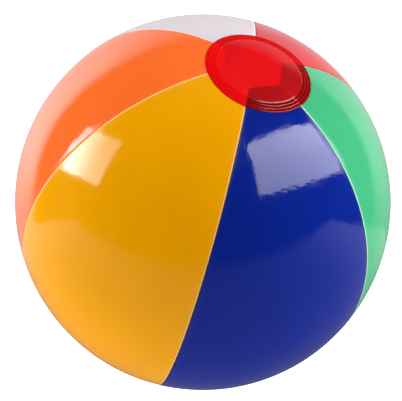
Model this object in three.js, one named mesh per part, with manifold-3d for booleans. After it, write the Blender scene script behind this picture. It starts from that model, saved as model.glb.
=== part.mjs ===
// An inflatable beach ball, blown up: six lapped gores, an end disc over the cut tips at each end,
// and a push-in valve in the white gore. Millimetres, +Z along the ball's own axis, +Y out through the valve,
// origin at the ball's centre. Azimuths turn from -Y, the middle of the blue gore, towards +X.
import * as THREE from "three";
import { mergeVertices } from "three/addons/utils/BufferGeometryUtils.js";
import Module from "manifold-3d";

const wasm = await Module();
wasm.setup();

// Skin
const ballDiameter = 324; // over the gores
const film = 0.25; // thickness of the gores' film
const goreColours = {
  blue: 0x14278c,
  green: 0x4bd291,
  red: 0xec4a58,
  white: 0xf2eef4,
  orange: 0xff732d,
  yellow: 0xecae16,
};
const seamLap = 5; // how far each gore runs on under the next one
const seamStep = 1; // length over which its edge steps down to get there
const weldGap = 0.3; // left between two pieces that are welded or rest on each other
const tipHole = 46; // across the flats of the hole that the cut tips leave at each end

// End discs
const discDiameter = 87; // measured along the curve
const discFilm = 0.3;
const discRibs = 3; // round weld ribs, counted from the disc's edge inwards
const ribWidth = 1.5;
const ribPitch = 2.6;
const rimMargin = 0.15; // flat rim outside the first rib
const ribHeight = 0.35;
const topDiscShift = { distance: 6.5, azimuth: 52 }; // laid a little off the tips' common point
const bottomDiscShift = { distance: 0, azimuth: 0 };

// Valve, with heights counted outwards from the skin and its foot inside the ball
const valveLatitude = 0; // angle above the middle of the gore
const valveHoleRadius = 10; // hole in the gore
const flangeRadius = 17;
const flangeThickness = 1.2;
const collarWall = 1.2; // ring on the flange that stands in the hole
const collarHeight = 0.2;
const stemBoreRadius = 3.25;
const stemWall = 1.5;
const stemLength = 14;
const mouthHeight = 1.6; // of the stem's mouth over the skin, pushed in
const lipWidth = 0.75;
const lipHeight = 1;
const diaphragmWall = 0.6;
const diaphragmTop = -1; // height of the edge that joins the collar
const diaphragmRim = 0.9; // depth of that edge
const flapThickness = 0.5;
const flapOverlap = 0.95; // how far the flap covers the stem's foot past the bore
const headRadius = 6;
const headThickness = 1.5;
const pinLength = 4.5;
const pinTaper = 0.9; // how much thinner the pin is at its tip
const pinClearance = 0.25;
const tabLength = 5; // past the head's edge
const tabWidth = 5;
const tabThickness = 1.1;
const strapWidth = 3.2;
const strapThickness = 0.7;
const strapBend = 0.75; // radius of the middle of its fold

// Fineness of the facets
const goreRings = 26;
const goreColumns = 8;
const discSides = 36;
const discSteps = 5;
const valveSides = 32;
const curveSteps = 6;

// Sizes that follow from the ones above
const ballRadius = ballDiameter / 2;
const goreNames = Object.keys(goreColours);
const goreAngle = (2 * Math.PI) / goreNames.length;
const tipAngle = Math.atan(tipHole / 2 / ballRadius);
const valveAzimuth = goreAngle * goreNames.indexOf("white");
const stemRadius = stemBoreRadius + stemWall;
const stemFoot = mouthHeight - stemLength;
const headHeight = mouthHeight + weldGap; // of the plug head's underside
// A flat facet of a gore dips this far below the round surface between its corners.
const ringSag = ballRadius * (1 - Math.cos(Math.PI / goreRings / 2));
const columnSag = ballRadius * (1 - Math.cos(goreAngle / goreColumns / 2));
const facetSag = ringSag + columnSag;

const lerp = THREE.MathUtils.lerp;
const radians = THREE.MathUtils.degToRad;

// A point at a radius from the centre, a polar angle from +Z and an azimuth from -Y.
function spherePoint(radius, polar, azimuth) {
  const across = radius * Math.sin(polar);
  return [across * Math.sin(azimuth), -across * Math.cos(azimuth), radius * Math.cos(polar)];
}

function paint(colour, roughness = 0.25) {
  return new THREE.MeshStandardMaterial({ color: colour, roughness, metalness: 0 });
}

function piece(name, geometry, material) {
  const mesh = new THREE.Mesh(geometry, material);
  mesh.name = name;
  return mesh;
}

// Conversion between a closed geometry and a solid that can be joined or cut.
function solidOf(geometry) {
  const bare = new THREE.BufferGeometry();
  const source = geometry.index ? geometry.toNonIndexed() : geometry;
  bare.setAttribute("position", source.getAttribute("position"));
  const merged = mergeVertices(bare, 1e-3);
  const vertProperties = merged.attributes.position.array;
  const triVerts = new Uint32Array(merged.index.array);
  return new wasm.Manifold(new wasm.Mesh({ numProp: 3, vertProperties, triVerts }));
}

function geometryOf(solid) {
  const mesh = solid.getMesh();
  const geometry = new THREE.BufferGeometry();
  geometry.setAttribute("position", new THREE.BufferAttribute(mesh.vertProperties, 3));
  geometry.setIndex(new THREE.BufferAttribute(mesh.triVerts, 1));
  geometry.computeVertexNormals();
  return geometry;
}

// A profile of [radius, height] points turned about the +Z axis.
function turned(profile, sides) {
  const points = profile.map(([r, z]) => new THREE.Vector2(r, z));
  return new THREE.LatheGeometry(points, sides).rotateX(Math.PI / 2);
}

// The same for a ring, whose profile closes on itself.
function turnedRing(profile, sides) {
  return turned([...profile, profile[0]], sides);
}

// A closed sheet over a grid of points: outer[ring][column] faces out and inner is its other face.
function sheet(outer, inner) {
  const rings = outer.length;
  const columns = outer[0].length;
  const at = (ring, column) => ring * columns + column;
  const below = rings * columns;
  const index = [];
  const quad = (a, b, c, d) => index.push(a, b, c, a, c, d);
  for (let ring = 1; ring < rings; ring++) {
    for (let column = 1; column < columns; column++) {
      const corners = [at(ring - 1, column - 1), at(ring, column - 1), at(ring, column), at(ring - 1, column)];
      quad(...corners);
      quad(...corners.map((corner) => corner + below).reverse());
    }
  }
  const rim = [];
  for (let ring = 0; ring < rings - 1; ring++) rim.push(at(ring, 0));
  for (let column = 0; column < columns - 1; column++) rim.push(at(rings - 1, column));
  for (let ring = rings - 1; ring > 0; ring--) rim.push(at(ring, columns - 1));
  for (let column = columns - 1; column > 0; column--) rim.push(at(0, column));
  rim.forEach((corner, i) => {
    const next = rim[(i + 1) % rim.length];
    quad(next, corner, corner + below, next + below);
  });
  const geometry = new THREE.BufferGeometry();
  const positions = [...outer.flat(2), ...inner.flat(2)];
  geometry.setAttribute("position", new THREE.Float32BufferAttribute(positions, 3));
  geometry.setIndex(index);
  geometry.computeVertexNormals();
  return geometry;
}

// The columns of a gore on one ring, as [azimuth, depth of the outer face below the ball's surface].
// Its first edge lies on top of the gore before it, and its last steps down and runs under the next.
function goreRing(firstSeam, ringRadius) {
  const lastSeam = firstSeam + goreAngle;
  const along = (length) => length / ringRadius;
  const from = firstSeam + along(seamLap);
  const to = lastSeam - along(seamStep + weldGap);
  const columns = [[firstSeam, 0]];
  for (let i = 0; i <= goreColumns; i++) columns.push([lerp(from, to, i / goreColumns), 0]);
  const under = film + weldGap;
  columns.push([lastSeam - along(weldGap), under], [lastSeam + along(seamLap), under]);
  return columns;
}

// The polar angle at which the skin is cut off, straight across the gore whose middle is nearest.
function tipCut(azimuth) {
  const fromMiddle = azimuth - goreAngle * Math.round(azimuth / goreAngle);
  return Math.atan(Math.tan(tipAngle) / Math.cos(fromMiddle));
}

// One gore, from cut tip to cut tip.
function gore(number) {
  const firstSeam = (number - 0.5) * goreAngle;
  const outer = [];
  const inner = [];
  for (let ring = 0; ring <= goreRings; ring++) {
    const share = ring / goreRings;
    const ringRadius = ballRadius * Math.sin(lerp(tipAngle, Math.PI - tipAngle, share));
    const columns = goreRing(firstSeam, ringRadius).map(([azimuth, depth]) => {
      const polar = lerp(tipCut(azimuth), Math.PI - tipCut(azimuth), share);
      return { azimuth, polar, radius: ballRadius - depth };
    });
    outer.push(columns.map((c) => spherePoint(c.radius, c.polar, c.azimuth)));
    inner.push(columns.map((c) => spherePoint(c.radius - film, c.polar, c.azimuth)));
  }
  return sheet(outer, inner);
}

// The end disc, about +Z: smooth in the middle, with raised weld ribs near its edge.
function endDisc() {
  const insideRadius = ballRadius + weldGap;
  const outsideRadius = insideRadius + discFilm;
  const point = (arc, radius) => {
    const angle = arc / insideRadius;
    return [radius * Math.sin(angle), radius * Math.cos(angle)];
  };
  const edge = discDiameter / 2;
  const smooth = edge - discRibs * ribPitch;
  const profile = [];
  for (let i = 0; i <= discSteps; i++) profile.push(point((edge * i) / discSteps, insideRadius));
  profile.push(point(edge, outsideRadius));
  for (let rib = 0; rib < discRibs; rib++) {
    const outerFoot = edge - rimMargin - rib * ribPitch;
    const crest = ribWidth / 2;
    const slope = (ribWidth - crest) / 2;
    profile.push(point(outerFoot, outsideRadius));
    profile.push(point(outerFoot - slope, outsideRadius + ribHeight));
    profile.push(point(outerFoot - slope - crest, outsideRadius + ribHeight));
    profile.push(point(outerFoot - ribWidth, outsideRadius));
  }
  for (let i = discSteps - 1; i >= 0; i--) profile.push(point((smooth * i) / (discSteps - 1), outsideRadius));
  return turned(profile, discSides);
}

// A disc laid on an end of the ball and slid over it by the shift.
function laidDisc(name, shift, atBottom) {
  const slide = new THREE.Group();
  slide.rotation.z = radians(shift.azimuth);
  const tilt = new THREE.Group();
  tilt.rotation.x = shift.distance / ballRadius + (atBottom ? Math.PI : 0);
  tilt.add(piece(name, endDisc(), paint(0xd81218, 0.2)));
  slide.add(tilt);
  return slide;
}

// The valve's round pieces all turn about its own axis, with height 0 at the skin.
const collarOuter = valveHoleRadius - weldGap;
const collarInner = collarOuter - collarWall;

function valveFlange() {
  const topRadius = ballRadius - film - facetSag - weldGap;
  const under = (radius, sphere) => [radius, Math.sqrt(sphere ** 2 - radius ** 2) - ballRadius];
  const middle = (flangeRadius + collarOuter) / 2;
  return turnedRing(
    [
      under(collarInner, topRadius - flangeThickness),
      under(middle, topRadius - flangeThickness),
      under(flangeRadius, topRadius - flangeThickness),
      under(flangeRadius, topRadius),
      under(middle, topRadius),
      under(collarOuter, topRadius),
      [collarOuter, collarHeight],
      [collarInner, collarHeight],
    ],
    valveSides,
  );
}

function valveDiaphragm() {
  const rimRadius = collarInner - weldGap;
  const rootRadius = stemRadius + weldGap;
  return turnedRing(
    [
      [rootRadius, stemFoot],
      [rootRadius + diaphragmWall, stemFoot],
      [rimRadius, diaphragmTop - diaphragmRim],
      [rimRadius, diaphragmTop],
      [rimRadius - diaphragmWall, diaphragmTop],
      [rootRadius, stemFoot + diaphragmWall],
    ],
    valveSides,
  );
}

function valveStem() {
  return turnedRing(
    [
      [stemBoreRadius, stemFoot],
      [stemRadius, stemFoot],
      [stemRadius, mouthHeight - lipHeight - lipWidth],
      [stemRadius + lipWidth, mouthHeight - lipHeight],
      [stemRadius + lipWidth, mouthHeight],
      [stemBoreRadius, mouthHeight],
    ],
    valveSides,
  );
}

function valveFlap() {
  const top = stemFoot - weldGap;
  const radius = stemBoreRadius + flapOverlap;
  return turned(
    [
      [0, top - flapThickness],
      [radius, top - flapThickness],
      [radius, top],
      [0, top],
    ],
    valveSides,
  );
}

// Head and tapered pin, turned in one, with a round-ended pull tab joined on along +X.
function valvePlug() {
  const pinRadius = stemBoreRadius - pinClearance;
  const headAndPin = turned(
    [
      [0, headHeight - pinLength],
      [pinRadius - pinTaper, headHeight - pinLength],
      [pinRadius, headHeight],
      [headRadius, headHeight],
      [headRadius, headHeight + headThickness],
      [0, headHeight + headThickness],
    ],
    valveSides,
  );
  const outline = new THREE.Shape();
  const tabEnd = headRadius + tabLength - tabWidth / 2;
  outline.moveTo(0, -tabWidth / 2);
  outline.absarc(tabEnd, 0, tabWidth / 2, -Math.PI / 2, Math.PI / 2);
  outline.lineTo(0, tabWidth / 2);
  const tab = new THREE.ExtrudeGeometry(outline, {
    depth: tabThickness,
    bevelEnabled: false,
    curveSegments: curveSteps,
  });
  tab.translate(0, 0, headHeight + (headThickness - tabThickness) / 2);
  return geometryOf(solidOf(headAndPin).add(solidOf(tab)));
}

// The strap is one fold of flat band on the -X side, from the head's edge round to the stem's lip.
// The plug swings about the middle of that fold.
function plugStrap() {
  const lipMiddle = mouthHeight - lipHeight / 2;
  const foldHeight = lipMiddle + strapBend;
  const foldAt = -(headRadius + 1);
  const half = strapThickness / 2;
  const outline = new THREE.Shape();
  outline.moveTo(-(headRadius + weldGap), foldHeight + strapBend + half);
  outline.absarc(foldAt, foldHeight, strapBend + half, Math.PI / 2, (3 * Math.PI) / 2);
  outline.lineTo(-(stemRadius + lipWidth + weldGap), foldHeight - strapBend - half);
  outline.lineTo(-(stemRadius + lipWidth + weldGap), foldHeight - strapBend + half);
  outline.absarc(foldAt, foldHeight, strapBend - half, (3 * Math.PI) / 2, Math.PI / 2, true);
  outline.lineTo(-(headRadius + weldGap), foldHeight + strapBend - half);
  const band = new THREE.ExtrudeGeometry(outline, {
    depth: strapWidth,
    bevelEnabled: false,
    curveSegments: curveSteps,
  });
  return band.translate(0, 0, -strapWidth / 2).rotateX(Math.PI / 2);
}

// The white gore has a round hole for the valve.
function goreWithHole(number) {
  const drillLength = valveHoleRadius; // passes through the curved film with room to spare
  const drill = new THREE.CylinderGeometry(valveHoleRadius, valveHoleRadius, drillLength, valveSides);
  drill.rotateX(Math.PI / 2).translate(0, 0, ballRadius);
  drill.rotateX(Math.PI / 2 - radians(valveLatitude)).rotateZ(valveAzimuth);
  return geometryOf(solidOf(gore(number)).subtract(solidOf(drill)));
}

function valve() {
  const spin = new THREE.Group();
  spin.rotation.z = valveAzimuth;
  const tilt = new THREE.Group();
  tilt.rotation.x = Math.PI / 2 - radians(valveLatitude);
  const onSkin = new THREE.Group();
  onSkin.position.z = ballRadius;
  const clearVinyl = paint(0xe8e6ea, 0.3);
  onSkin.add(piece("valve_flange", valveFlange(), clearVinyl));
  onSkin.add(piece("valve_diaphragm", valveDiaphragm(), clearVinyl.clone()));
  onSkin.add(piece("valve_stem", valveStem(), clearVinyl.clone()));
  onSkin.add(piece("valve_flap", valveFlap(), clearVinyl.clone()));
  onSkin.add(piece("valve_plug", valvePlug(), clearVinyl.clone()));
  onSkin.add(piece("plug_strap", plugStrap(), clearVinyl.clone()));
  tilt.add(onSkin);
  spin.add(tilt);
  return spin;
}

const ball = new THREE.Group();
goreNames.forEach((colour, number) => {
  const geometry = colour === "white" ? goreWithHole(number) : gore(number);
  ball.add(piece(`gore_${colour}`, geometry, paint(goreColours[colour])));
});
ball.add(laidDisc("top_end_disc", topDiscShift, false));
ball.add(laidDisc("bottom_end_disc", bottomDiscShift, true));
ball.add(valve());

export default ball;
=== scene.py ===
"""An inflatable beach ball, blown up: six film gores lapped and welded at their seams, a see-through red
disc over the cut tips at each end, and a soft push-in valve in the white gore. Metres, +Z along the
ball's own axis, +Y out through the valve."""

import math

import bmesh
import bpy
import numpy as np
from mathutils import Matrix, Vector


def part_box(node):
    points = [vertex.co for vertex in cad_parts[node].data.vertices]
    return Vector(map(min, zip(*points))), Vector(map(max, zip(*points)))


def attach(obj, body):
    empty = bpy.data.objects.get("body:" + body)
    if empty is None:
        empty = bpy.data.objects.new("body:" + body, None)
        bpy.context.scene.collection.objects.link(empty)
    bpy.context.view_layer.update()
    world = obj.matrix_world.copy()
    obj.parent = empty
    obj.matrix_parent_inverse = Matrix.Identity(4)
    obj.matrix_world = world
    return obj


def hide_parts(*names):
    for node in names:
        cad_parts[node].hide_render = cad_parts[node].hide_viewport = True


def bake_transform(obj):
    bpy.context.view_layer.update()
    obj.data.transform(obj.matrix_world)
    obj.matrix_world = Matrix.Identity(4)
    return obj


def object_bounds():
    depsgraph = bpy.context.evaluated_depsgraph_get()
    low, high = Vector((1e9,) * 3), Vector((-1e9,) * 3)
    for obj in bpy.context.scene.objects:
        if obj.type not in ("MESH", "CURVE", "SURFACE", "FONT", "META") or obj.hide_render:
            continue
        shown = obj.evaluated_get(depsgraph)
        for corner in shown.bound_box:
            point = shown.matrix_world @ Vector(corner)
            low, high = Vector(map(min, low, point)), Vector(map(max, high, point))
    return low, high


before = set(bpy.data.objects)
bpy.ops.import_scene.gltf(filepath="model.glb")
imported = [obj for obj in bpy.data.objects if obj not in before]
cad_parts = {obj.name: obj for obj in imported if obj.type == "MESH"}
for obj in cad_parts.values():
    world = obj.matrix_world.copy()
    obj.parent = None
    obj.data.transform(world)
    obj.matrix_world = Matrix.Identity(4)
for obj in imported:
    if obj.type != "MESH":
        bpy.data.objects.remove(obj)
cad_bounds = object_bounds()

MM = 0.001

# Skin. Its radius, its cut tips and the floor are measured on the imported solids.
GORES = ["blue", "green", "red", "white", "orange", "yellow"]
BALL_RADIUS = max(v.co.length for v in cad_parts["gore_blue"].data.vertices)
TIP_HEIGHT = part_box("gore_blue")[1].z  # of the cut ends over the ball's middle
FLOOR_HEIGHT = cad_bounds[0][2]
GORE_ANGLE = 2 * math.pi / len(GORES)
TIP_ANGLE = math.acos(TIP_HEIGHT / BALL_RADIUS)  # to the middle of a gore's straight cut end
FILM = 0.25 * MM
LAP = 5 * MM  # how far a gore runs on under the next
LAP_GAP = 0.25 * MM
GORE_ROWS = 150
PLAIN_COLUMNS = 22  # across the middle of a gore
VALVE_COLUMNS = 46  # the same in the gore with the valve
SEAM_COLUMNS = [0, 0.15, 0.3, 0.45, 0.6, 0.8, 1, 1.3, 1.6, 1.9, 2.2, 2.6, 3.2, 4, 5, 6.5, 8.5]
SEAM_COLUMNS = np.array(SEAM_COLUMNS) * MM  # distances from a seam, closest where the weld's relief is
LAP_COLUMNS = np.array([0.24, 0.48, 0.72, 1]) * LAP

# Relief of the skin. The pairs are places or widths at a gore's first seam and at its last.
WELD_BEAD = 0.02 * MM  # height of the squeezed-out line along a seam
BEAD_PLACES = (0.55 * MM, 0.95 * MM)
BEAD_WIDTH = 0.35 * MM
WELD_PRESS = 0.015 * MM  # depth of the pressed line beside it
PRESS_PLACES = (2.0 * MM, 2.2 * MM)
PRESS_WIDTHS = (0.7 * MM, 0.6 * MM)
CUT_WIDTH = 0.2 * MM  # of the rounding at a gore's cut edge
SEAM_DIP = 0.05 * MM  # how far the doubled film holds the seam in
PUCKER = 0.02 * MM
PUCKER_REACH = 6 * MM
PUCKER_LENGTH = 16 * MM
PUCKER_SEED = 10
SWELL = 0.035 * MM  # long soft waves of the film
SWELL_LENGTHS = (55 * MM, 70 * MM)
SWELL_SEEDS = (31, 41)

# End discs
DISC_EDGE = 43.5 * MM  # radius along the curve
DISC_FILM = 0.3 * MM
RIB_PITCH = 2.6 * MM
RIB_WIDTH = 1.5 * MM
RIB_HEIGHT = 0.28 * MM
RIM_MARGIN = 0.15 * MM
RIBS = 3
DOME_HEIGHT = 1.2 * MM
TOP_TILT = 6.5 * MM / BALL_RADIUS  # the disc that shows is laid a little off centre,
TOP_TURN = math.radians(52)  # to this side
DISC_SIDES = 220
RING_STEP = 0.13 * MM  # between a disc's rings of points over the ribs
WELD_INSIDE = DISC_EDGE - RIBS * RIB_PITCH  # radius of the welded ring's inner edge
RIB_CRESTS = [DISC_EDGE - RIM_MARGIN - rib * RIB_PITCH - RIB_WIDTH / 2 for rib in range(RIBS)]

# Valve
VALVE_HOLE = 10 * MM
FLANGE_RADIUS = 17 * MM
FLANGE_WELDS = (12.4 * MM, 14.6 * MM)  # radii of the two pressed rings
VALVE_WINDOW = 28 * MM  # half the side of the patch of round rows laid about the hole


def smooth_step(values, start, end):
    """Eases from 0 at the start to 1 at the end."""
    share = np.clip((values - start) / (end - start), 0, 1)
    return share * share * (3 - 2 * share)


def bump_at(distance, centre, width):
    """A round-topped ridge, 1 at its crest."""
    return np.exp(-(((distance - centre) / width) ** 2))


def waves(values, seed, longest, count=5):
    """A smooth run of waves that never repeats, mostly between -1 and 1."""
    draw = np.random.RandomState(seed)
    total = np.zeros_like(values)
    for step in range(count):
        length = longest / 1.6**step
        total += np.sin(2 * math.pi * (values / length + draw.rand())) / count**0.5
    return total


# ---------------------------------------------------------------- meshes


def mesh_object(name, points, faces, sharp_angle=40):
    """A smooth-shaded object, sharp where its faces meet at more than this angle."""
    mesh = bpy.data.meshes.new(name)
    mesh.from_pydata(np.asarray(points).tolist(), [], [list(map(int, face)) for face in faces])
    mesh.update()
    mesh.shade_smooth()
    mesh.set_sharp_from_angle(angle=math.radians(sharp_angle))
    piece = bpy.data.objects.new(name, mesh)
    bpy.context.scene.collection.objects.link(piece)
    return piece


def add_values(piece, name, values):
    """Stores one number per point, for the piece's material to read."""
    attribute = piece.data.attributes.new(name, "FLOAT", "POINT")
    attribute.data.foreach_set("value", np.asarray(values, np.float32).ravel())


def finish_piece(piece, body, replaced, materials):
    """Gives a piece its materials, the node that it replaces and the body that it rides."""
    for material in materials:
        piece.data.materials.append(material)
    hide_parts(replaced)
    if body:
        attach(piece, body)


def grid_faces(numbers):
    """Quads over a grid of point numbers, facing out when rows run down and columns run east."""
    a = numbers[:-1, :-1]
    b = numbers[1:, :-1]
    c = numbers[1:, 1:]
    d = numbers[:-1, 1:]
    return np.stack([a, b, c, d], axis=-1).reshape(-1, 4)


def turned(profile, sides, closed):
    """Points and faces of a [radius, height] outline turned about +Z, solid to the left of the outline.
    A point on the axis is made once, and a closed outline joins its last point to its first."""
    rings = []
    points = []
    angles = np.arange(sides) * 2 * math.pi / sides
    east, north = np.cos(angles), np.sin(angles)
    for radius, height in profile:
        if radius < 1e-9:  # on the axis
            rings.append(np.full(sides, len(points)))
            points.append((0, 0, height))
            continue
        rings.append(len(points) + np.arange(sides))
        points.extend(np.stack([radius * east, radius * north, np.full(sides, height)], axis=1))
    if closed:
        rings.append(rings[0])
    faces = []
    for low, high in zip(rings[:-1], rings[1:]):
        for quad in zip(low, np.roll(low, -1), np.roll(high, -1), high):
            corners = list(dict.fromkeys(quad))
            if len(corners) > 2:
                faces.append(corners)
    return np.array(points, float), faces


def rounded(profile, radius, steps=4, closed=True):
    """The outline with an arc of up to this radius at each corner."""
    count = len(profile)
    smooth = []
    for i, corner in enumerate(profile):
        here = np.array(corner, float)
        if not closed and i in (0, count - 1):
            smooth.append(tuple(here))
            continue
        before = np.array(profile[i - 1], float) - here
        after = np.array(profile[(i + 1) % count], float) - here
        reach = min(radius, 0.45 * np.linalg.norm(before), 0.45 * np.linalg.norm(after))
        start = here + before / np.linalg.norm(before) * reach
        end = here + after / np.linalg.norm(after) * reach
        for step in range(steps + 1):
            share = step / steps
            rest = 1 - share
            smooth.append(tuple(rest**2 * start + 2 * share * rest * here + share**2 * end))
    return smooth


# ---------------------------------------------------------------- gores


def on_ball(height, polar, azimuth):
    """Points by height over the ball, polar angle from +Z and azimuth from -Y towards +X."""
    radius = BALL_RADIUS + height
    across = radius * np.sin(polar)
    return np.stack([across * np.sin(azimuth), -across * np.cos(azimuth), radius * np.cos(polar)], axis=-1)


def tip_cut(azimuth):
    """The polar angle at which the skin ends: a straight cut across each gore."""
    from_middle = azimuth - GORE_ANGLE * np.round(azimuth / GORE_ANGLE)
    return np.arctan(math.tan(TIP_ANGLE) / np.cos(from_middle))


def seam_relief(seam, distance, along):
    """Puckers and dip that both films share beside a seam."""
    near = np.exp(-distance / PUCKER_REACH)
    puckers = waves(along, PUCKER_SEED + seam % len(GORES), PUCKER_LENGTH)
    return near * (PUCKER * puckers) - SEAM_DIP * np.exp(-distance / (2 * PUCKER_REACH))


def gore_columns(ring_radius, middle_columns):
    """Distances of the columns of points from the first seam, closest beside both seams."""
    width = ring_radius * GORE_ANGLE
    middle = np.linspace(SEAM_COLUMNS[-1], width - SEAM_COLUMNS[-1], middle_columns)[1:-1]
    return np.concatenate([SEAM_COLUMNS, middle, width - SEAM_COLUMNS[::-1], width + LAP_COLUMNS])


def film_relief(number, first, last, along, azimuth):
    """Height of a gore's outer face over the ball, from the distances to its first and last seams. A
    squeezed-out bead and a pressed line run beside each seam, and past the last one the film dips under
    its neighbour."""
    relief = seam_relief(number, np.abs(first), along) + seam_relief(number + 1, np.abs(last), along)
    for distance, bead_place, press_place, press_width in zip(
        (first, last), BEAD_PLACES, PRESS_PLACES, PRESS_WIDTHS
    ):
        relief = relief + WELD_BEAD * bump_at(distance, bead_place, BEAD_WIDTH)
        relief = relief - WELD_PRESS * bump_at(distance, press_place, press_width)
    relief = relief - WELD_PRESS * bump_at(first, 0, CUT_WIDTH)
    across = azimuth * BALL_RADIUS
    slanting = waves(along + 0.4 * across, SWELL_SEEDS[0] + number, SWELL_LENGTHS[0], 3)
    upright = waves(across, SWELL_SEEDS[1] + number, SWELL_LENGTHS[1], 3)
    relief = relief + SWELL * slanting * upright
    under = (FILM + LAP_GAP) * (1 - smooth_step(last, 0.05 * MM, 0.6 * MM))
    return relief - under


def gore_grid(number, middle_columns):
    """Azimuth, polar angle and distances to the first and last seams, over a gore's rows and columns."""
    first_seam = (number - 0.5) * GORE_ANGLE
    rows = []
    for share in np.linspace(0, 1, GORE_ROWS + 1):
        ring_radius = BALL_RADIUS * math.sin(TIP_ANGLE + share * (math.pi - 2 * TIP_ANGLE))
        first = gore_columns(ring_radius, middle_columns)
        azimuth = first_seam + first / ring_radius
        cut = tip_cut(azimuth)
        polar = cut + share * (math.pi - 2 * cut)
        rows.append(np.stack([azimuth, polar, first, ring_radius * GORE_ANGLE - first], axis=-1))
    return np.moveaxis(np.array(rows), -1, 0)


def gore(number):
    """One gore of film, running on under the next. The white one has the valve's hole."""
    has_valve = GORES[number] == "white"
    grid = gore_grid(number, VALVE_COLUMNS if has_valve else PLAIN_COLUMNS)
    numbers = np.arange(grid[0].size).reshape(grid[0].shape)
    values = [layer.ravel() for layer in grid]
    faces = grid_faces(numbers)
    outlines = [
        np.concatenate([numbers[:-1, 0], numbers[-1, :-1], numbers[:0:-1, -1], numbers[0, :0:-1]])
    ]
    if has_valve:
        values, faces, hole = open_valve_window(values, grid[0], grid[1], numbers)
        outlines.append(hole[::-1])
    azimuth, polar, first, last = values
    along = BALL_RADIUS * polar
    relief = film_relief(number, first, last, along, azimuth)
    if has_valve:
        relief = relief + valve_relief(azimuth, polar)
    outer = on_ball(relief, polar, azimuth)
    inner = on_ball(relief - FILM, polar, azimuth)
    piece = closed_sheet(f"{GORES[number]}_gore_film", outer, inner, faces, outlines)
    across = BALL_RADIUS * np.sin(polar) * (azimuth - number * GORE_ANGLE)
    add_values(piece, "seam", np.tile(np.minimum(first, last), 2))
    add_values(piece, "across", np.tile(across, 2))
    add_values(piece, "along", np.tile(along, 2))
    return piece


def closed_sheet(name, outer, inner, faces, outlines):
    """A sheet from its outer and inner points, closed along outlines of point numbers. Its inner side
    takes the second material."""
    below = len(outer)
    sides = [faces, (faces + below)[:, ::-1]]
    all_faces = np.concatenate(sides + [edge_faces(outline, below) for outline in outlines])
    piece = mesh_object(name, np.concatenate([outer, inner]), all_faces)
    index = np.zeros(len(all_faces), int)
    index[len(faces): 2 * len(faces)] = 1
    piece.data.polygons.foreach_set("material_index", index)
    return piece


def edge_faces(outline, below):
    """Quads that close the two faces of a sheet along an outline of point numbers."""
    after = np.roll(outline, -1)
    return np.stack([after, outline, outline + below, after + below], axis=-1)


def valve_place(azimuth, polar):
    """Distances east and up from the valve's axis, along the skin."""
    east = (azimuth - GORES.index("white") * GORE_ANGLE) * BALL_RADIUS
    up = (math.pi / 2 - polar) * BALL_RADIUS
    return east, up


def valve_relief(azimuth, polar):
    """The film stands up a little over the flange welded behind it, with two pressed weld rings."""
    east, up = valve_place(azimuth, polar)
    distance = np.hypot(east, up)
    past_flange = smooth_step(distance, FLANGE_RADIUS - 0.6 * MM, FLANGE_RADIUS + 1.2 * MM)
    over_flange = 0.3 * MM * (1 - past_flange)
    rings = sum(bump_at(distance, radius, 0.45 * MM) for radius in FLANGE_WELDS)
    return over_flange - 0.22 * MM * rings


def open_valve_window(values, azimuth, polar, numbers):
    """Takes a window of faces out of the grid about the valve and fills it with rings about the hole.
    Gives the new values and faces, and the point numbers of the ring at the hole's edge."""
    east, up = valve_place(azimuth, polar)
    rows = np.flatnonzero(np.abs(up[:, 0]) < VALVE_WINDOW)
    r0, r1 = rows[0], rows[-1]
    columns = np.flatnonzero(np.abs(east[(r0 + r1) // 2]) < VALVE_WINDOW)
    c0, c1 = columns[0], columns[-1]
    keep = np.ones((numbers.shape[0] - 1, numbers.shape[1] - 1), bool)
    keep[r0:r1, c0:c1] = False
    faces = grid_faces(numbers)[keep.ravel()]
    border = np.concatenate(
        [numbers[r0:r1, c0], numbers[r1, c0:c1], numbers[r1:r0:-1, c1], numbers[r0, c1:c0:-1]]
    )
    flat = [v.copy() for v in values]
    east, up = valve_place(flat[0][border], flat[1][border])
    turn = np.arctan2(up, east)
    radii = np.linspace(VALVE_HOLE, FLANGE_RADIUS + 2.5 * MM, 34)
    loops = [(radius * np.cos(turn), radius * np.sin(turn)) for radius in radii]
    outer_east, outer_up = loops[-1]
    for share in (0.33, 0.66):  # from the outermost ring to the window's square border
        loops.append((outer_east + share * (east - outer_east), outer_up + share * (up - outer_up)))
    rings = []
    middle = GORES.index("white") * GORE_ANGLE
    half = GORE_ANGLE / 2
    for ring_east, ring_up in loops:
        rings.append(len(flat[0]) + np.arange(len(border)))
        new_azimuth = middle + ring_east / BALL_RADIUS
        new_polar = math.pi / 2 - ring_up / BALL_RADIUS
        ring_radius = BALL_RADIUS * np.sin(new_polar)
        flat[0] = np.concatenate([flat[0], new_azimuth])
        flat[1] = np.concatenate([flat[1], new_polar])
        flat[2] = np.concatenate([flat[2], (new_azimuth - middle + half) * ring_radius])
        flat[3] = np.concatenate([flat[3], (middle + half - new_azimuth) * ring_radius])
    rings.append(border)
    for near, far in zip(rings[:-1], rings[1:]):
        quads = np.stack([near, far, np.roll(far, -1), np.roll(near, -1)], axis=-1)
        faces = np.concatenate([faces, quads])
    return flat, faces, rings[0]


# ---------------------------------------------------------------- end discs


def rib_share(arc):
    """1 on a rib's crest, 0 in the pressed grooves beside it."""
    share = np.zeros_like(arc)
    foot = 0.62 * RIB_WIDTH  # from a crest
    for crest in RIB_CRESTS:
        share = np.maximum(share, 1 - smooth_step(np.abs(arc - crest), 0, foot))
    return share


def disc_height(arc):
    """Height of an end disc's top face over the skin: weld ribs near its edge, a soft dome inside."""
    dome = np.clip(1 - (arc / WELD_INSIDE) ** 2, 0, 1)
    shoulder = smooth_step(arc, WELD_INSIDE, WELD_INSIDE - 1.5 * MM)
    groove = DISC_FILM + 0.1 * MM
    return groove + RIB_HEIGHT * np.maximum(rib_share(arc), shoulder) + DOME_HEIGHT * dome


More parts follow.
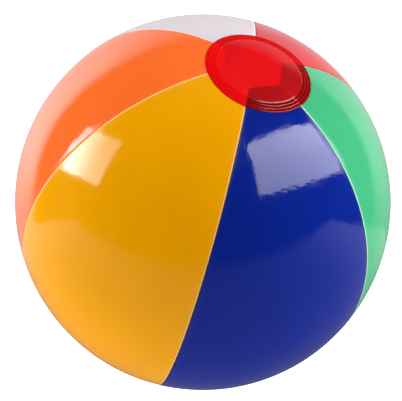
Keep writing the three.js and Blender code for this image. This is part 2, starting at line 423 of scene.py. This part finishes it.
def end_disc(name, tilt, turn):
    """A disc made about +Z, then tipped off the axis and turned about it."""
    fine = WELD_INSIDE - 2.5 * MM
    fine_arcs = np.arange(fine + RING_STEP, DISC_EDGE - 0.08 * MM, RING_STEP)
    arcs = np.concatenate([np.linspace(0, fine, 28), fine_arcs, [DISC_EDGE]])
    top = disc_height(arcs)
    top[-1] -= 0.12 * MM  # the cut edge is rounded off
    bottom = np.maximum(top - DISC_FILM, 0.06 * MM)

    def place(arc, height):
        angle = arc / BALL_RADIUS
        radius = BALL_RADIUS + height
        return np.stack([radius * np.sin(angle), radius * np.cos(angle)], axis=-1)

    profile = np.concatenate([place(arcs, bottom), place(arcs[::-1], top[::-1])])
    points, faces = turned(profile, DISC_SIDES, closed=False)
    arc = BALL_RADIUS * np.arctan2(np.hypot(points[:, 0], points[:, 1]), points[:, 2])
    spin = np.arctan2(points[:, 1], points[:, 0])
    # A faint ripple, three and seven waves round, in the film that isn't welded down
    free = 1 - smooth_step(arc, WELD_INSIDE - 9 * MM, WELD_INSIDE)
    ripple = 0.10 * MM * np.sin(3 * spin + 1) + 0.05 * MM * np.sin(7 * spin + 2)
    ripple = ripple * free * (arc / WELD_INSIDE) ** 2
    height = np.linalg.norm(points, axis=1) - BALL_RADIUS
    points = points * (1 + ripple / BALL_RADIUS)[:, None]
    piece = mesh_object(name, points, faces)
    # How far it is welded down: 0 where it is free, more in the grooves than on the ribs, 1 at the edge
    bonded = smooth_step(arc, WELD_INSIDE - 0.8 * MM, WELD_INSIDE) * (0.4 - 0.28 * rib_share(arc))
    bonded = bonded + 0.6 * smooth_step(arc, DISC_EDGE - 0.7 * MM, DISC_EDGE - 0.3 * MM)
    add_values(piece, "bond", bonded)
    is_under = height < (np.interp(arc, arcs, top) + np.interp(arc, arcs, bottom)) / 2
    under = np.array([all(is_under[list(face.vertices)]) for face in piece.data.polygons])
    piece.data.polygons.foreach_set("material_index", under.astype(np.int32))
    piece.data.transform(Matrix.Rotation(turn, 4, "Z") @ Matrix.Rotation(tilt, 4, "X"))
    return piece


# ---------------------------------------------------------------- valve
# Its outlines are pairs of radius and height over the skin, in millimetres.


def stand_on_skin(piece):
    """Turns a valve piece, made about +Z with height 0 at the skin, to its place on the ball's +Y side."""
    place = Matrix(((-1, 0, 0, 0), (0, 0, 1, BALL_RADIUS), (0, 1, 0, 0), (0, 0, 0, 1)))
    piece.data.transform(place)
    return piece


def turned_piece(name, profile, closed, corner, sides=96):
    """A valve part from its outline and the radius of its corners."""
    outline = rounded([(r * MM, z * MM) for r, z in profile], corner * MM, closed=closed)
    points, faces = turned(outline, sides, closed)
    return mesh_object(name, points, faces, sharp_angle=50)


def valve_flange():
    """A ring that follows the skin's inside, with a collar that stands in the hole."""

    def under(radius, depth):
        sphere = BALL_RADIUS / MM - depth
        return (radius, math.sqrt(sphere**2 - radius**2) - BALL_RADIUS / MM)

    bore, collar, rim = 8.5, 9.7, FLANGE_RADIUS / MM
    outline = [(bore, 0.2), (bore, -1.9), under(12, 2.1), under(rim - 0.1, 1.6)]
    outline += [under(rim, 1.0), under(12, 1.0), (collar, -0.9), (collar, 0.2)]
    return turned_piece("flange_vinyl", outline, True, 0.35)


def valve_diaphragm():
    """A thin cone from the flange to the stem's foot. Its ends run a little into both, and show no gap."""
    inner = [(8.6, -1.0), (7.6, -1.0), (6.9, -3.4), (5.9, -7.6), (4.9, -11.7), (4.65, -12.3)]
    outer = [(5.65, -12.3), (6.5, -8.0), (7.5, -3.9), (8.6, -1.8)]
    return turned_piece("diaphragm_vinyl", inner + outer, True, 0.4)


def valve_stem():
    """A tube with a lip at its mouth."""
    bore, wall, lip = 3.25, 4.75, 5.5
    mouth, foot = 1.6, -12.4
    outline = [(bore, mouth), (bore, foot), (wall, foot), (wall, -0.15), (lip, 0.6), (lip, mouth)]
    return turned_piece("stem_vinyl", outline, True, 0.3)


def valve_flap():
    """A round flap that shuts the stem's inner end."""
    rim, face, back = 4.2, -12.7, -13.2
    outline = [(0, back), (3.9, back), (rim, -13.0), (rim, face), (3.0, -12.75), (0, -12.85)]
    return turned_piece("flap_vinyl", outline, False, 0.15)


def valve_plug():
    """A tapered pin under a round head with a shallow dish, and a pull tab at its side."""
    tip, underside, dish, top = -2.6, 1.9, 3.1, 3.4
    rim = 6.0
    pin = [(0, tip), (2.1, tip), (3.0, underside)]
    head = [(rim, underside), (rim, top), (4.6, top), (4.1, dish), (0, dish)]
    plug = turned_piece("plug_vinyl", pin + head, False, 0.3)
    return joined(plug, pull_tab())


def bar_faces(rows, count):
    """Faces of a bar with this many points round each of its sections, closed at both ends."""
    faces = []
    for row in range(rows - 1):
        for i in range(count):
            j = (i + 1) % count
            here, there = row * count, (row + 1) * count
            faces.append((here + i, here + j, there + j, there + i))
    faces.append(tuple(range(count))[::-1])
    faces.append(tuple(range((rows - 1) * count, rows * count)))
    return faces


def pull_tab():
    """A tongue beside the plug's head with a round end and three grip ribs."""
    root, reach, half = 5.2 * MM, 11 * MM, 2.5 * MM
    top, bottom = 3.0 * MM, 1.9 * MM
    edge = 0.22 * MM
    rib_height, rib_width = 0.22 * MM, 0.32 * MM
    rib_places = [reach - 3.6 * MM, reach - 2.4 * MM, reach - 1.2 * MM]
    along = np.linspace(root, reach, 60)
    points = []
    for x in along:
        into_end = max(0.0, x - (reach - half))
        side = math.sqrt(max(half**2 - into_end**2, (0.25 * MM) ** 2))
        high = top + rib_height * max(bump_at(x, place, rib_width) for place in rib_places)
        half_section = [(side - edge, bottom), (side, bottom + edge), (side, top - edge)]
        half_section += [(side - 0.6 * edge, top - 0.2 * edge), (side - 2 * edge, high)]
        section = half_section + [(-y, z) for y, z in reversed(half_section)]
        points.extend((x, y, z) for y, z in section)
    return mesh_object("pull_tab", points, bar_faces(len(along), len(section)), sharp_angle=50)


def joined(piece, other):
    """Adds the other piece's faces to this one."""
    made = bmesh.new()
    made.from_mesh(piece.data)
    made.from_mesh(other.data)
    made.to_mesh(piece.data)
    made.free()
    bpy.data.objects.remove(other)
    piece.data.set_sharp_from_angle(angle=math.radians(50))
    return piece


def box_section(width, thickness, corner, steps=3):
    """A rectangle with round corners, as points about its middle."""
    points = []
    for turn, (sx, sy) in enumerate([(1, 1), (-1, 1), (-1, -1), (1, -1)]):
        for step in range(steps + 1):
            angle = math.pi / 2 * (turn + step / steps)
            x = sx * (width / 2 - corner) + corner * math.cos(angle)
            y = sy * (thickness / 2 - corner) + corner * math.sin(angle)
            points.append((x, y))
    return points


def swept_band(name, path, normals, width, thickness):
    """A flat band with rounded edges along a path in the local X-Z plane."""
    section = box_section(width, thickness, 0.3 * thickness)
    points = []
    for (x, z), (nx, nz) in zip(path, normals):
        for across, out in section:
            points.append((x + nx * out, across, z + nz * out))
    return mesh_object(name, points, bar_faces(len(path), len(section)), sharp_angle=50)


def plug_strap():
    """A short band from the stem's lip round one fold to the plug's head."""
    fold_x, fold_z, bend = -7.0, 1.85, 0.75
    width, thickness = 3.2, 0.7
    steps = 16
    path = [(-5.9, fold_z - bend), (-6.4, fold_z - bend)]
    normals = [(0, -1), (0, -1)]
    for step in range(steps + 1):
        angle = -math.pi / 2 - math.pi * step / steps
        path.append((fold_x + bend * math.cos(angle), fold_z + bend * math.sin(angle)))
        normals.append((math.cos(angle), math.sin(angle)))
    path += [(-6.5, fold_z + bend), (-6.1, fold_z + bend)]
    normals += [(0, 1), (0, 1)]
    scaled = [(x * MM, z * MM) for x, z in path]
    return swept_band("strap_vinyl", scaled, normals, width * MM, thickness * MM)


# ---------------------------------------------------------------- materials

PVC_IOR = 1.53
PAINTED_THROUGH_LIGHT = 0.5  # painted light: glow of the gores' inner faces, in place of the light that comes through the film
LAP_DULLNESS = 0.07  # roughness that the welded lap adds
BEAD_DULLNESS = 0.45  # and the bead beside it
CLEAR_SHARE = 0.93  # of the see-through film's back face


def linear(hex_colour):
    """An sRGB hex colour as linear RGBA."""
    channels = [int(hex_colour[i: i + 2], 16) / 255 for i in (0, 2, 4)]
    straight = [c / 12.92 if c <= 0.04045 else ((c + 0.055) / 1.055) ** 2.4 for c in channels]
    return (*straight, 1.0)


def scaled_colour(colour, factor):
    """A linear colour made lighter or darker, kept opaque."""
    return (*(min(1.0, c * factor) for c in colour[:3]), 1.0)


def add_node(tree, kind, inputs=None, **settings):
    """A node with its settings. An input, by name or number, takes a value or is linked to an output."""
    made = tree.nodes.new(kind)
    for name, value in settings.items():
        setattr(made, name, value)
    for key, value in (inputs or {}).items():
        if isinstance(value, bpy.types.NodeSocket):
            tree.links.new(value, made.inputs[key])
        else:
            made.inputs[key].default_value = value
    return made


def noise(tree, place, size, detail):
    """A noise pattern whose patches are about this size."""
    inputs = {"Vector": place, "Scale": 1 / size, "Detail": detail}
    return add_node(tree, "ShaderNodeTexNoise", inputs).outputs[0]


def ramp(tree, value, start, end, first, last):
    """Goes from first to last while the value goes from start to end."""
    inputs = {"Value": value, 1: start, 2: end, 3: first, 4: last}
    return add_node(tree, "ShaderNodeMapRange", inputs).outputs[0]


def colour_mix(tree, share, first, second):
    """The first colour at share 0, the second at 1."""
    inputs = {0: share, 6: first, 7: second}
    return add_node(tree, "ShaderNodeMix", inputs, data_type="RGBA").outputs[2]


def bump(tree, height, distance, **more):
    """A bump map as deep as the distance. A finer one goes over a coarser one given as its Normal."""
    inputs = {"Height": height, "Strength": 1.0, "Distance": distance, **more}
    return add_node(tree, "ShaderNodeBump", inputs).outputs[0]


def new_material(name):
    """An empty material and its node tree."""
    material = bpy.data.materials.new(name)
    material.use_nodes = True
    material.node_tree.nodes.clear()
    return material, material.node_tree


def calendered_film(name, hex_colour, seam_highlight_shade_colour, seam_highlight_shade_share, glow=0.0):
    """Calendered PVC film, dyed through and stretched tight by the air. It gives a clean gloss whose
    reflections run a little wavy, faint flow lines from the rollers, and along each seam a line of
    painted highlight on pale films and painted shade on dark ones, where the weld's bead catches the
    light and its groove lies in shade."""
    material, tree = new_material(name)
    colour = linear(hex_colour)
    place = add_node(tree, "ShaderNodeTexCoord").outputs["Object"]
    across = add_node(tree, "ShaderNodeAttribute", attribute_name="across").outputs["Fac"]
    along = add_node(tree, "ShaderNodeAttribute", attribute_name="along").outputs["Fac"]
    seam = add_node(tree, "ShaderNodeAttribute", attribute_name="seam").outputs["Fac"]
    # Clouds in the dye
    clouds = noise(tree, place, 45 * MM, 3.0)
    dyed = colour_mix(tree, clouds, scaled_colour(colour, 0.93), scaled_colour(colour, 1.05))
    # Flow lines 1.5 mm apart and 80 mm long
    flow_place = add_node(tree, "ShaderNodeCombineXYZ", {"X": across, "Y": along})
    flow_scaled = add_node(
        tree,
        "ShaderNodeVectorMath",
        {0: flow_place.outputs[0], 1: (1 / (1.5 * MM), 1 / (80 * MM), 1.0)},
        operation="MULTIPLY",
    )
    flow = noise(tree, flow_scaled.outputs[0], 1.0, 2.0)
    # A line a millimetre wide along the edge of the film, painted pale as a highlight on light films and
    # dark as shade on dark ones, where the weld's bead catches the light and its groove lies in shade
    bead = ramp(tree, seam, 0.6 * MM, 1.3 * MM, 1.0, 0.0)
    seam_highlight_shade = add_node(tree, "ShaderNodeMath", {0: bead, 1: seam_highlight_shade_share}, operation="MULTIPLY")
    shown = colour_mix(tree, seam_highlight_shade.outputs[0], dyed, linear(seam_highlight_shade_colour))
    # Handling haze in patches of 20 mm, duller film over the lap, and the bead duller still
    haze = noise(tree, place, 20 * MM, 4.0)
    gloss = ramp(tree, haze, 0.35, 0.75, 0.06, 0.11)
    weld_band = ramp(tree, seam, LAP * 0.8, LAP, LAP_DULLNESS, 0.0)
    banded = add_node(tree, "ShaderNodeMath", {0: gloss, 1: weld_band}, operation="ADD")
    bead_inputs = {0: bead, 1: BEAD_DULLNESS, 2: banded.outputs[0]}
    roughness = add_node(tree, "ShaderNodeMath", bead_inputs, operation="MULTIPLY_ADD")
    # Fine ripples in the stretched film, with the flow lines over them
    ripples = bump(tree, noise(tree, place, 4 * MM, 2.0), 0.08 * MM)
    inputs = {
        "Base Color": shown,
        "Roughness": roughness.outputs[0],
        "IOR": PVC_IOR,
        "Normal": bump(tree, flow, 0.0016 * MM, Normal=ripples),
    }
    # The inner faces glow as painted light, in place of the light that comes through the film
    if glow:
        inputs["Emission Color"] = colour
        inputs["Emission Strength"] = glow
    surface = add_node(tree, "ShaderNodeBsdfPrincipled", inputs)
    add_node(tree, "ShaderNodeOutputMaterial", {"Surface": surface.outputs[0]})
    return material


def clear_red_film():
    """See-through red PVC film. It darkens what lies behind it to red and carries a little haze of its
    own. Where it is welded down the haze is gone, so that grooves over dark film look almost black."""
    material, tree = new_material("see_through_red_pvc_film")
    place = add_node(tree, "ShaderNodeTexCoord").outputs["Object"]
    bond = add_node(tree, "ShaderNodeAttribute", attribute_name="bond").outputs["Fac"]
    clouds = noise(tree, place, 30 * MM, 3.0)
    inputs = {
        "Base Color": colour_mix(tree, clouds, linear("f01e24"), linear("ff262c")),
        "Roughness": ramp(tree, clouds, 0.3, 0.7, 0.09, 0.16),
        "IOR": PVC_IOR,
        "Specular IOR Level": 1.0,
        "Normal": bump(tree, noise(tree, place, 12 * MM, 1.0), 0.05 * MM),
    }
    film = add_node(tree, "ShaderNodeBsdfPrincipled", inputs)
    # Welded film lets through more, and the cut edge, seen through its width, is the darkest
    see_through = ramp(tree, bond, 0.0, 0.4, 0.62, 0.87)
    edge = ramp(tree, bond, 0.25, 1.0, 0.0, 1.0)
    tint = colour_mix(tree, edge, linear("ff2828"), linear("b81a20"))
    behind = add_node(tree, "ShaderNodeBsdfTransparent", {"Color": tint})
    both = {0: see_through, 1: film.outputs[0], 2: behind.outputs[0]}
    surface = add_node(tree, "ShaderNodeMixShader", both)
    add_node(tree, "ShaderNodeOutputMaterial", {"Surface": surface.outputs[0]})
    return material


def clear_underside():
    """The red film's back face. The top face has its colour already, so only a trace of gloss is left."""
    material, tree = new_material("see_through_film_back")
    place = add_node(tree, "ShaderNodeTexCoord").outputs["Object"]
    clouds = noise(tree, place, 30 * MM, 2.0)
    inputs = {"Base Color": linear("e01016"), "Roughness": ramp(tree, clouds, 0.3, 0.7, 0.15, 0.25)}
    film = add_node(tree, "ShaderNodeBsdfPrincipled", inputs)
    behind = add_node(tree, "ShaderNodeBsdfTransparent", {"Color": (1, 1, 1, 1)})
    both = {0: CLEAR_SHARE, 1: film.outputs[0], 2: behind.outputs[0]}
    surface = add_node(tree, "ShaderNodeMixShader", both)
    add_node(tree, "ShaderNodeOutputMaterial", {"Surface": surface.outputs[0]})
    return material


def moulded_vinyl():
    """Soft vinyl moulded in one shot, milky and half clear. It gives a satin gloss with a fine pebble
    from the mould, and light that soaks in and softens the edges."""
    material, tree = new_material("moulded_soft_vinyl")
    place = add_node(tree, "ShaderNodeTexCoord").outputs["Object"]
    clouds = noise(tree, place, 4 * MM, 3.0)
    inputs = {
        "Base Color": colour_mix(tree, clouds, linear("e0dedf"), linear("e8e6e7")),
        "Roughness": ramp(tree, clouds, 0.3, 0.7, 0.28, 0.33),
        "IOR": 1.52,
        "Subsurface Weight": 0.5,
        "Subsurface Radius": (1.0, 0.9, 0.85),
        "Subsurface Scale": 1.2 * MM,
        "Normal": bump(tree, noise(tree, place, 0.6 * MM, 2.0), 0.02 * MM),
    }
    surface = add_node(tree, "ShaderNodeBsdfPrincipled", inputs)
    add_node(tree, "ShaderNodeOutputMaterial", {"Surface": surface.outputs[0]})
    return material


# ---------------------------------------------------------------- camera and studio


# The camera looks down on the ball from the front left, rolled so that the ball's axis leans to the right.
CAMERA_AZIMUTH = math.radians(-37.84)
CAMERA_ELEVATION = math.radians(45.95)
CAMERA_ROLL = math.radians(19.97)
CAMERA_DISTANCE = 6 * BALL_RADIUS
CAMERA_LENS = 99.7  # mm
SENSOR_WIDTH = 36  # mm
CAMERA_SHIFT = (-0.0047, 0.0040)
SOFT_EDGE = 0.015  # width of a softbox's fading edge

TO_CAMERA = Vector(
    (
        math.sin(CAMERA_AZIMUTH) * math.cos(CAMERA_ELEVATION),
        -math.cos(CAMERA_AZIMUTH) * math.cos(CAMERA_ELEVATION),
        math.sin(CAMERA_ELEVATION),
    )
)
LEVEL_EAST = Vector((math.cos(CAMERA_AZIMUTH), math.sin(CAMERA_AZIMUTH), 0))
AXIS_UP = TO_CAMERA.cross(LEVEL_EAST)
PICTURE_RIGHT = LEVEL_EAST * math.cos(CAMERA_ROLL) + AXIS_UP * math.sin(CAMERA_ROLL)
PICTURE_UP = AXIS_UP * math.cos(CAMERA_ROLL) - LEVEL_EAST * math.sin(CAMERA_ROLL)


def basis(x_axis, y_axis, z_axis, place):
    """The matrix that turns an object to these axes and moves it to the place."""
    return Matrix([(x_axis[i], y_axis[i], z_axis[i], place[i]) for i in range(3)] + [(0, 0, 0, 1)])


def add_camera():
    """The camera looks at the ball's middle, which its shift sets a little off the picture's centre."""
    data = bpy.data.cameras.new("camera")
    data.lens = CAMERA_LENS
    data.sensor_width = SENSOR_WIDTH
    data.shift_x, data.shift_y = CAMERA_SHIFT
    camera = bpy.data.objects.new("camera", data)
    camera.matrix_world = basis(PICTURE_RIGHT, PICTURE_UP, TO_CAMERA, TO_CAMERA * CAMERA_DISTANCE)
    bpy.context.scene.collection.objects.link(camera)
    bpy.context.scene.camera = camera


def studio_place(right, up, forward):
    """A point from its distances to the right, up and towards the camera from the ball's middle."""
    return PICTURE_RIGHT * right + PICTURE_UP * up + TO_CAMERA * forward


def panel_frame(azimuth, elevation, roll=0.0, yaw=0.0, pitch=0.0, distance=1.0):
    """A panel's place round the ball and its turn. Its azimuth is counted to the right of the camera, and
    without yaw or pitch it faces the ball square on. Angles in degrees, distance in metres."""
    azimuth, elevation = math.radians(azimuth), math.radians(elevation)
    roll, yaw, pitch = math.radians(roll), math.radians(yaw), math.radians(pitch)
    level = Vector((math.sin(azimuth), 0, math.cos(azimuth)))
    outward = level * math.cos(elevation) + Vector((0, math.sin(elevation), 0))
    right = Vector((math.cos(azimuth), 0, -math.sin(azimuth)))
    up = outward.cross(right)
    back = outward * math.cos(yaw) * math.cos(pitch) + right * math.sin(yaw) + up * math.sin(pitch)
    back.normalize()
    side = (right - back * right.dot(back)).normalized()
    rise = back.cross(side)
    x_axis = side * math.cos(roll) + rise * math.sin(roll)
    y_axis = rise * math.cos(roll) - side * math.sin(roll)
    return basis(*(studio_place(*axis) for axis in (x_axis, y_axis, back, outward * distance)))


def flat_frame(right, up, forward, x_axis, y_axis):
    """A panel's place and turn from its middle and two axes, all given as studio places."""
    x_axis, y_axis = Vector(x_axis), Vector(y_axis)
    axes = (x_axis, y_axis, x_axis.cross(y_axis), (right, up, forward))
    return basis(*(studio_place(*axis) for axis in axes))


def add_softbox(name, place, width, height, power):
    """The light that a softbox throws on the ball, its power in watts. Gloss shows its card instead."""
    data = bpy.data.lights.new(name, "AREA")
    data.shape = "RECTANGLE"
    data.size = width
    data.size_y = height
    data.energy = power
    light = bpy.data.objects.new(name, data)
    light.matrix_world = place
    light.visible_camera = False
    light.visible_glossy = False
    bpy.context.scene.collection.objects.link(light)


def glow(name, strength, ramps):
    """A card's glow. Each ramp (axis, start, end, first, last) scales it along the card's X or Y, from
    first at start to last at end, in metres from the card's middle."""
    material, tree = new_material(name)
    place = add_node(tree, "ShaderNodeTexCoord").outputs["Object"]
    axes = add_node(tree, "ShaderNodeSeparateXYZ", {0: place})
    level = add_node(tree, "ShaderNodeValue").outputs[0]
    level.default_value = strength
    for axis, start, end, first, last in ramps:
        inputs = {"Value": axes.outputs[axis], 1: start, 2: end, 3: first, 4: last}
        share = add_node(tree, "ShaderNodeMapRange", inputs, interpolation_type="SMOOTHSTEP").outputs[0]
        level = add_node(tree, "ShaderNodeMath", {0: level, 1: share}, operation="MULTIPLY").outputs[0]
    light = add_node(tree, "ShaderNodeEmission", {"Strength": level})
    add_node(tree, "ShaderNodeOutputMaterial", {"Surface": light.outputs[0]})
    return material


def add_card(name, place, width, height, strength, ramps=(), soft=0.0):
    """A glowing card that only glossy surfaces see, with soft edges of this width."""
    x, y = width / 2, height / 2
    mesh = bpy.data.meshes.new(name)
    mesh.from_pydata([(-x, -y, 0), (x, -y, 0), (x, y, 0), (-x, y, 0)], [], [(0, 1, 2, 3)])
    ramps = list(ramps)
    if soft:
        for axis, reach in (("X", x), ("Y", y)):
            ramps += [(axis, -reach, soft - reach, 0, 1), (axis, reach - soft, reach, 1, 0)]
    mesh.materials.append(glow(name + "_glow", strength, ramps))
    card = bpy.data.objects.new(name, mesh)
    card.matrix_world = place
    bpy.context.scene.collection.objects.link(card)
    card.visible_camera = False
    card.visible_diffuse = False
    card.visible_shadow = False
    card.visible_transmission = False


def add_studio():
    """Two softboxes, two fill lights, a table and a backdrop. The glow of a card fades along its ramps,
    as it does across a real softbox."""
    r = BALL_RADIUS
    left = panel_frame(-70.6, 23.0, roll=-20.3, yaw=15.2, pitch=-34.6)
    width, height = 0.590, 0.456
    add_softbox("softbox_left", left, width, height, power=6.0)
    left_ramps = [
        ("X", -0.26, 0.22, 1.4, 0.34),
        ("X", -0.28, -0.16, 0.6, 1.0),
        ("Y", -0.2, 0.2, 1.25, 0.7),
    ]
    add_card("softbox_left_card", left, width, height, 11.5, left_ramps, SOFT_EDGE)
    right = panel_frame(57.5, 25.0, roll=14.5, yaw=-7.9, pitch=-38.2)
    width, height = 1.002, 0.599
    add_softbox("softbox_right", right, width, height, power=11.0)
    right_ramps = [("X", -0.5, 0.2, 0.7, 0.92), ("Y", -0.3, 0.2, 0.75, 1.05)]
    add_card("softbox_right_card", right, width, height, 7.4, right_ramps, SOFT_EDGE)
    add_softbox("fill_right", panel_frame(100, -5, distance=1.4), 1.0, 1.0, power=10.5)
    add_softbox("fill_top", panel_frame(0, 75, distance=1.4), 1.0, 1.0, power=5.5)
    # A white table under the ball, brighter towards its sides
    table = flat_frame(-0.5 * r, -r, -2.9 * r, (1, 0, 0), (0, 0, -1))
    table_ramps = [
        ("X", -5.5 * r, 0.2 * r, 4.8, 1.0),
        ("X", r, 5.5 * r, 1.0, 4.0),
        ("Y", -5.1 * r, -4.5 * r, 0.0, 1.0),
    ]
    add_card("table_card", table, 15 * r, 10.2 * r, 0.15, table_ramps)
    # A pale backdrop behind the ball, brighter to the left
    back = 8 * r
    backdrop = flat_frame(0, 1.5 * back, -back, (1, 0, 0), (0, 1, 0))
    backdrop_ramps = [
        ("X", -2.3 * back, -1.5 * back, 0.0, 1.0),
        ("X", -1.45 * back, -0.2 * back, 1.9, 0.7),
        ("X", 0.4 * back, 1.3 * back, 1.0, 1.25),
        ("X", 1.4 * back, 2.1 * back, 1.0, 0.0),
        ("Y", -1.7 * back, -1.1 * back, 0.4, 1.0),
        ("Y", -0.3 * back, 1.9 * back, 1.0, 0.0),
    ]
    add_card("backdrop_card", backdrop, 4.8 * back, 3.9 * back, 1.0, backdrop_ramps)


def add_floor():
    """A wide pale board under the ball, lit evenly. Gloss sees the table card in its place."""
    mesh = bpy.data.meshes.new("floor")
    reach = 6.0
    corners = [(-reach, -reach), (reach, -reach), (reach, reach), (-reach, reach)]
    mesh.from_pydata([(x, y, FLOOR_HEIGHT) for x, y in corners], [], [(0, 1, 2, 3)])
    material, tree = new_material("pale_painted_board")
    inputs = {
        "Base Color": (0.55, 0.55, 0.55, 1),
        "Roughness": 0.7,
        "Emission Color": (1, 1, 1, 1),
        "Emission Strength": 1.5,
    }
    surface = add_node(tree, "ShaderNodeBsdfPrincipled", inputs)
    add_node(tree, "ShaderNodeOutputMaterial", {"Surface": surface.outputs[0]})
    mesh.materials.append(material)
    floor = bpy.data.objects.new("floor", mesh)
    bpy.context.scene.collection.objects.link(floor)
    floor.visible_glossy = False


def add_world():
    """White to the camera, and a soft even fill to everything else. Gloss sees only the cards."""
    world = bpy.data.worlds.new("studio")
    world.use_nodes = True
    tree = world.node_tree
    tree.nodes.clear()
    seen = add_node(tree, "ShaderNodeLightPath").outputs["Is Camera Ray"]
    fill, white = 0.16, 1.0
    strength = ramp(tree, seen, 0.0, 1.0, fill, white)
    background = add_node(tree, "ShaderNodeBackground", {"Color": (1, 1, 1, 1), "Strength": strength})
    add_node(tree, "ShaderNodeOutputWorld", {"Surface": background.outputs[0]})
    world.cycles_visibility.glossy = False
    bpy.context.scene.world = world


bpy.context.scene.view_settings.view_transform = "Standard"
add_camera()
add_world()
add_floor()
add_studio()

# For each gore, its film's colour, the colour painted along its seams as a highlight on pale films
# and as shade on dark ones, and how far the line goes to that
FILM_COLOURS = {
    "blue": ("0a2286", "040c3c", 0.85),
    "green": ("40ac77", "d8fae8", 0.6),
    "red": ("d01422", "96282e", 0.6),
    "white": ("d9ced4", "ffffff", 0.6),
    "orange": ("fc6e2b", "e86426", 0.4),
    "yellow": ("eea100", "fadf98", 0.6),
}
for gore_number, colour_name in enumerate(GORES):
    looks = FILM_COLOURS[colour_name]
    outside_film = calendered_film(f"{colour_name}_calendered_pvc_film", *looks)
    inside_film = calendered_film(f"{colour_name}_film_painted_light_through", *looks, glow=PAINTED_THROUGH_LIGHT)
    films = [outside_film, inside_film]
    finish_piece(gore(gore_number), "ball", f"gore_{colour_name}", films)

disc_materials = [clear_red_film(), clear_underside()]
top_disc = end_disc("top_disc_film", TOP_TILT, TOP_TURN)
finish_piece(top_disc, "ball", "top_end_disc", disc_materials)
bottom_disc = end_disc("bottom_disc_film", math.pi, 0)
finish_piece(bottom_disc, "ball", "bottom_end_disc", disc_materials)

vinyl = moulded_vinyl()
for maker, body, node in (
    (valve_flange, "ball", "valve_flange"),
    (valve_diaphragm, None, "valve_diaphragm"),
    (valve_stem, "stem", "valve_stem"),
    (valve_flap, "flap", "valve_flap"),
    (valve_plug, "plug", "valve_plug"),
    (plug_strap, None, "plug_strap"),
):
    valve_piece = stand_on_skin(maker())
    finish_piece(valve_piece, body, node, [vinyl])
    if node == "valve_diaphragm":
        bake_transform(valve_piece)
    if node == "plug_strap":
        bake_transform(valve_piece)
